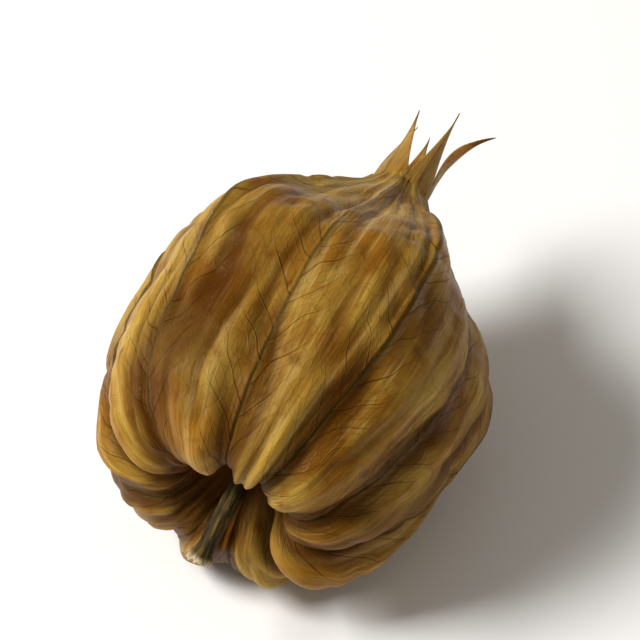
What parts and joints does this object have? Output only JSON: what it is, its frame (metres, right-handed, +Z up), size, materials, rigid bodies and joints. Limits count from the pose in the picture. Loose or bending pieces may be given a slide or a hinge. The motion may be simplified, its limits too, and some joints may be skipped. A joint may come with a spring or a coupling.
{
  "type": "physalis fruit",
  "caption": "Physalis fruit lying on its side: a ribbed papery husk with a sunken stem end and toothed tip, a round berry inside, and a short cut stem.",
  "frame": {"origin": "on the surface the fruit lies on, under the middle of its bounding box", "axes": "+Y from the stem end to the husk's tip, +Z up"},
  "size_m": [0.0308, 0.0492, 0.0299],
  "materials": {
    "dry_husk": "papery dried calyx, golden tan with darker ribs and a fine vein net, slightly translucent",
    "berry_skin": "smooth waxy orange skin",
    "dry_stem": "dry olive-brown stalk with fine grooves and a pale torn end"
  },
  "bodies": {
    "root": {"husk": "dry_husk", "berry": "berry_skin", "stem": "dry_stem"}
  },
  "joints": []
}
